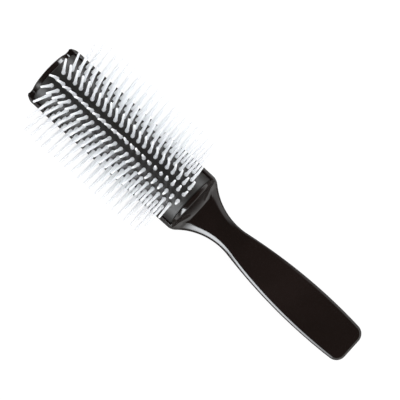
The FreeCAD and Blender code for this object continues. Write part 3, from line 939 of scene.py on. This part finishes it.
@dataclass
class PinRow:
    """A nylon strip on the dome with its row of pins, knobbed at the foot and round at the tip."""

    arch: Arch
    plan: RowPlan
    pitch: float
    length: float
    seat_gap: float = 0.08
    strip_thickness: float = 1.0
    strip_half: float = 1.25
    strip_margin: float = 2.2
    strip_round: float = 0.2
    sides: int = 8
    strip_samples: int = 4
    jitter: float = 0.28
    seed: int = 100
    seed_step: int = 10
    # reach above the pad and radius, from the root in the strip to the tip
    profile: tuple = (
        (-2.0, 0.0), (-2.0, 1.05), (0.9, 1.14), (2.3, 0.86),
        (9.0, 0.72), (18.3, 0.56), (19.0, 0.36), (19.2, 0.0),
    )

    def pins(self) -> np.ndarray:
        """Lays out all the pins of the row.

        A ring's centre goes out along the row's direction and bends away with the square of its
        reach. The bend follows smooth curves through the row's drifts, along the brush, and its
        sways, across it, with a little chance in both.

        Returns:
            A stack of grids, one for each pin, of rings by sides.
        """
        plan, arch = self.plan, self.arch
        turn = plan.angle(arch)
        out = np.array([0.0, math.sin(turn), math.cos(turn)])
        across = np.array([0.0, math.cos(turn), -math.sin(turn)])
        along = np.array([1.0, 0.0, 0.0])
        reach, radius = np.array(self.profile).T
        full = reach[-1]

        chance = np.random.default_rng(self.seed + self.seed_step * plan.number + plan.side.value)
        lean = chance.normal(0.0, self.jitter, (2, plan.count))
        for index, bends in enumerate((plan.drift, plan.sway)):
            shares = np.linspace(0.0, 1.0, len(bends))
            lean[index] += through(shares, bends, np.linspace(0.0, 1.0, plan.count))
        place = plan.first + self.pitch * np.arange(plan.count) - self.length / 2
        bend = (np.clip(reach, 0.0, None) / full) ** 2

        centre = place[:, None, None] * along + (arch.pad_radius + reach)[None, :, None] * out
        centre = centre + np.array([0.0, 0.0, arch.axis_height])
        aside = lean[0][:, None, None] * along + lean[1][:, None, None] * across
        centre = centre + bend[None, :, None] * aside
        angle = np.linspace(0.0, math.tau, self.sides + 1)
        ring = np.cos(angle)[:, None] * along + np.sin(angle)[:, None] * across
        ring[-1] = ring[0]
        return centre[:, :, None, :] + radius[None, :, None, None] * ring

    def strip(self) -> np.ndarray:
        """Lays out the flat strip, a closed tube of rectangles with rounded corners.

        Returns:
            A grid of four sections. The first and the last close the ends, each in one point.
        """
        plan, arch = self.plan, self.arch
        turn = plan.angle(arch)
        low = arch.dome_radius + self.seat_gap
        high = low + self.strip_thickness
        half = self.strip_half
        corners = [(0.0, low), (half, low), (half, high), (-half, high), (-half, low), (0.0, low)]
        box = np.array([(0.0, *corner) for corner in corners])
        cuts = np.full((1, len(box) - 2), self.strip_round)
        loop = rounded(box[None], cuts, self.strip_samples)[0]
        ends = plan.first - self.strip_margin, plan.first + (plan.count - 1) * self.pitch + self.strip_margin
        core = np.array([0.0, 0.0, (low + high) / 2])
        rows = []
        for place, section in ((ends[0], core), (ends[0], loop), (ends[1], loop), (ends[1], core)):
            rows.append(np.broadcast_to(section, loop.shape) + np.array([place - self.length / 2, 0.0, 0.0]))
        grid = np.stack(rows)
        across, up = grid[..., 1].copy(), grid[..., 2].copy()
        grid[..., 1] = across * math.cos(turn) + up * math.sin(turn)
        grid[..., 2] = arch.axis_height + up * math.cos(turn) - across * math.sin(turn)
        return grid

    def build(self, finish: bpy.types.Material) -> bpy.types.Object:
        """Makes the row and sets it on the frame in place of its solid.

        Args:
            finish: Its material.

        Returns:
            The piece.
        """
        made = surface(self.plan.node.replace("pin_row", "nylon_pins"), [self.pins(), self.strip()], finish)
        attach(made, "root")
        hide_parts(self.plan.node)
        return made


# The studio


@dataclass(frozen=True)
class Lamp:
    """One soft box that faces the middle of the brush.

    It hangs in the direction azimuth, in degrees from +X towards +Y, and height, in degrees above
    the table. Its distance and its width and height are in metres and its power in watts. It dims
    over the shares of width and height in fade, towards its end of higher azimuth and its lower
    edge, and without a fade it is even.
    """

    name: str
    azimuth: float
    height: float
    away: float
    size: tuple
    power: float
    fade: tuple = ()
    shows: Shows = Shows.ALL


@dataclass
class Studio:
    """A white table in a pale room, soft lamps and the camera at the photograph's angle."""

    centre_mm: tuple = (-24.3, -6.57, 420.0)
    turns_deg: tuple = (-0.7, -2.94, 42.49)
    focal_pixels: float = 765.7
    frame_pixels: float = 400.0
    sensor_mm: float = 36.0
    clip_from: float = 0.01
    clip_to: float = 50.0
    floor_radius: float = 4.0
    floor_sides: int = 96
    floor_gap_mm: float = 0.15
    floor_glow: float = 0.9
    floor_shade: str = "#6a6a6a"
    floor_white: str = "#e8e8e8"
    floor_mirrored: str = "#7c7a78"
    room_level: float = 1.8
    room_above: float = 0.06
    wall_level: float = 1.3
    # between which z of a direction the room darkens, and between which x and z the wall begins and ends
    room_fade: tuple = (0.16, 0.58)
    wall_start: tuple = (0.06, 0.22)
    wall_fade: tuple = (0.62, 0.86)
    lamp_tint: tuple = (0.93, 0.965, 1.0)
    lamps: tuple = (
        Lamp("soft_box_left", -61.0, 42.5, 0.6, (0.39, 0.34), 6.4, (0.8, 0.5), Shows.GLOSS),
        Lamp("low_strip_left", -102.0, 20.0, 0.6, (0.13, 0.17), 2.2, (), Shows.GLOSS),
        Lamp("small_box_right", 103.0, 21.5, 0.9, (0.25, 0.3), 3.8),
        Lamp("top_box", 0.0, 89.9, 1.0, (0.9, 0.9), 7.2, (), Shows.MATT),
    )

    def camera(self) -> None:
        """Sets the camera from the focal length in pixels of the photograph."""
        data = bpy.data.cameras.new("camera")
        data.sensor_width = self.sensor_mm
        data.lens = self.focal_pixels / self.frame_pixels * self.sensor_mm
        data.clip_start = self.clip_from
        data.clip_end = self.clip_to
        made = bpy.data.objects.new("camera", data)
        made.location = [value * MM for value in self.centre_mm]
        made.rotation_euler = [math.radians(value) for value in self.turns_deg]
        bpy.context.scene.collection.objects.link(made)
        bpy.context.scene.camera = made

    def floor(self) -> None:
        """A round table top: white to the camera outside a faint shadow, and greyer in reflections."""
        turn = np.linspace(0.0, math.tau, self.floor_sides, endpoint=False)
        points = np.stack([np.cos(turn), np.sin(turn), np.zeros_like(turn)], axis=1) * self.floor_radius
        points[:, 2] = -self.floor_gap_mm * MM
        mesh = bpy.data.meshes.new("table_top")
        mesh.from_pydata(points.tolist(), [], [list(range(len(points)))])
        made = bpy.data.objects.new("table_top", mesh)
        bpy.context.scene.collection.objects.link(made)
        material, tree = new_material("table_matt_white")
        path = add_node(tree, "ShaderNodeLightPath")
        rays = {0: path.outputs["Is Camera Ray"], 1: path.outputs["Is Transmission Ray"]}
        seen = add_node(tree, "ShaderNodeMath", rays, operation="ADD", use_clamp=True)
        tones = {MIX_FIRST: linear(self.floor_white), MIX_SECOND: linear(self.floor_mirrored)}
        tones["Factor"] = path.outputs["Is Glossy Ray"]
        tint = add_node(tree, "ShaderNodeMix", tones, data_type="RGBA").outputs[MIX_RESULT]
        matt = add_node(tree, "ShaderNodeBsdfDiffuse", {"Color": tint})
        shade = add_node(tree, "ShaderNodeBsdfDiffuse", {"Color": linear(self.floor_shade)})
        glow = add_node(tree, "ShaderNodeEmission", {"Color": WHITE, "Strength": self.floor_glow})
        both = add_node(tree, "ShaderNodeAddShader", {0: shade.outputs[0], 1: glow.outputs[0]})
        choice = {0: seen.outputs[0], 1: matt.outputs[0], 2: both.outputs[0]}
        mix = add_node(tree, "ShaderNodeMixShader", choice)
        add_node(tree, "ShaderNodeOutputMaterial", {"Surface": mix.outputs[0]})
        mesh.materials.append(material)

    def room(self) -> None:
        """A pale room under a dark ceiling, with a grey wall that stands higher behind the handle.

        The wall comes in with the direction's x and ends with its z, and the brighter of room and
        wall is taken.
        """
        world = bpy.data.worlds.new("pale_room")
        world.use_nodes = True
        tree = world.node_tree
        tree.nodes.clear()
        way = add_node(tree, "ShaderNodeTexCoord").outputs["Generated"]
        parts = add_node(tree, "ShaderNodeSeparateXYZ", {0: way})
        levels = []
        for axis, (start, stop), low, high in (
            ("Z", self.room_fade, self.room_level, self.room_above),
            ("X", self.wall_start, 0.0, 1.0),
            ("Z", self.wall_fade, self.wall_level, 0.0),
        ):
            ends = {"From Min": start, "From Max": stop, "To Min": low, "To Max": high}
            ends["Value"] = parts.outputs[axis]
            fade = add_node(tree, "ShaderNodeMapRange", ends, interpolation_type="SMOOTHSTEP")
            levels.append(fade.outputs[0])
        room, side, end = levels
        wall = add_node(tree, "ShaderNodeMath", {0: side, 1: end}, operation="MULTIPLY").outputs[0]
        level = add_node(tree, "ShaderNodeMath", {0: room, 1: wall}, operation="MAXIMUM").outputs[0]
        light = add_node(tree, "ShaderNodeBackground", {"Color": WHITE, "Strength": level})
        add_node(tree, "ShaderNodeOutputWorld", {"Surface": light.outputs[0]})
        bpy.context.scene.world = world

    def hang(self, lamp: Lamp) -> None:
        """Hangs one lamp.

        Args:
            lamp: Where it hangs and how it shines.
        """
        data = bpy.data.lights.new(lamp.name, "AREA")
        data.shape = "RECTANGLE"
        data.size, data.size_y = lamp.size
        data.energy = lamp.power
        data.color = self.lamp_tint
        if lamp.fade:
            data.use_nodes = True
            tree = data.node_tree
            tree.nodes.clear()
            spot = add_node(tree, "ShaderNodeNewGeometry").outputs["Parametric"]
            parts = add_node(tree, "ShaderNodeSeparateXYZ", {0: spot})
            dims = []
            for axis, start, stop in (("X", 1.0, 1.0 - lamp.fade[0]), ("Y", 0.0, lamp.fade[1])):
                ends = {"Value": parts.outputs[axis], "From Min": start, "From Max": stop}
                dims.append(add_node(tree, "ShaderNodeMapRange", ends, interpolation_type="SMOOTHSTEP"))
            both = {0: dims[0].outputs[0], 1: dims[1].outputs[0]}
            dim = add_node(tree, "ShaderNodeMath", both, operation="MULTIPLY")
            glow = add_node(tree, "ShaderNodeEmission", {"Strength": dim.outputs[0]})
            add_node(tree, "ShaderNodeOutputLight", {0: glow.outputs[0]})
        made = bpy.data.objects.new(lamp.name, data)
        turn, rise = math.radians(lamp.azimuth), math.radians(lamp.height)
        level = lamp.away * math.cos(rise)
        made.location = (level * math.cos(turn), level * math.sin(turn), lamp.away * math.sin(rise))
        made.rotation_euler = (math.pi / 2 - rise, 0.0, turn + math.pi / 2)
        made.visible_diffuse = lamp.shows is not Shows.GLOSS
        made.visible_glossy = lamp.shows is not Shows.MATT
        bpy.context.scene.collection.objects.link(made)

    def build(self) -> None:
        """Sets table, room, lamps and camera."""
        self.floor()
        self.room()
        for lamp in self.lamps:
            self.hang(lamp)
        self.camera()
        bpy.context.scene.view_settings.view_transform = "Standard"


@dataclass
class StylingBrush:
    """The whole brush: body, pad and nine rows of pins."""

    arch: Arch = field(default_factory=Arch)
    pitch: float = 4.0
    first_pin: float = 8.0
    # for each row outwards from the middle: pins, and half pitches that its first pin stands back
    counts: tuple = ((23, 0), (23, 0), (22, 1), (21, 2), (20, 3))
    # how far the tips have been brushed aside, in mm to the right, at even steps from tip to handle
    middle_sway: tuple = (-1.3, -0.9, -0.9, 0.6, 0.4, 2.1)
    right_sway: tuple = ((0.4, -0.3, -0.8, -1.4), (-0.2, -1.3), (1.1, -0.4), (0.0, 0.6))
    left_sway: tuple = ((0.1, 0.5, 1.7, 2.7), (1.2, 0.9), (0.8, -0.3), (-0.3, 0.2))
    # and how far along the brush, in mm towards the handle, for the middle row and those outwards
    middle_drift: tuple = (0.0, -0.1, -0.9, -1.0, -0.2, 0.0)
    right_drift: tuple = ((0.0, -0.2, -1.2, -1.4, -1.3, -0.2), (0.0, -0.5), (0.0, 0.0), (0.0, 0.0))
    left_drift: tuple = ((0.0, 0.0, -0.4), (0.0, 0.0), (0.0, 0.0), (0.0, 0.0))

    def plans(self) -> list[RowPlan]:
        """Works out the nine rows' places.

        Returns:
            A plan for each row.
        """
        made = []
        for side, word, sways, drifts in (
            (Side.MIDDLE, "centre", (self.middle_sway,), (self.middle_drift,)),
            (Side.RIGHT, "right", self.right_sway, self.right_drift),
            (Side.LEFT, "left", self.left_sway, self.left_drift),
        ):
            for index, (sway, drift) in enumerate(zip(sways, drifts)):
                number = 0 if side is Side.MIDDLE else index + 1
                count, halves = self.counts[number]
                node = "pin_row_centre" if side is Side.MIDDLE else f"pin_row_{word}_{number}"
                first = self.first_pin + halves * self.pitch / 2
                made.append(RowPlan(node, side, number, count, first, sway, drift))
        return made

    def build(self) -> None:
        """Builds every piece in order."""
        low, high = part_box("body")
        length = (high.x - low.x) / MM
        nylon = MouldedNylon(self.arch.axis_height).material()
        MouldedBody(self.arch, length).build(MouldedAbs().material())
        RubberPad(self.arch, self.plans(), self.pitch, length).build(MouldedRubber().material())
        for plan in self.plans():
            PinRow(self.arch, plan, self.pitch, length).build(nylon)


def main() -> None:
    """Builds the brush and its studio."""
    logging.basicConfig(level=logging.INFO, format="%(name)s: %(message)s")
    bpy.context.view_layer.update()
    StylingBrush().build()
    Studio().build()


if __name__ == "__main__":
    main()
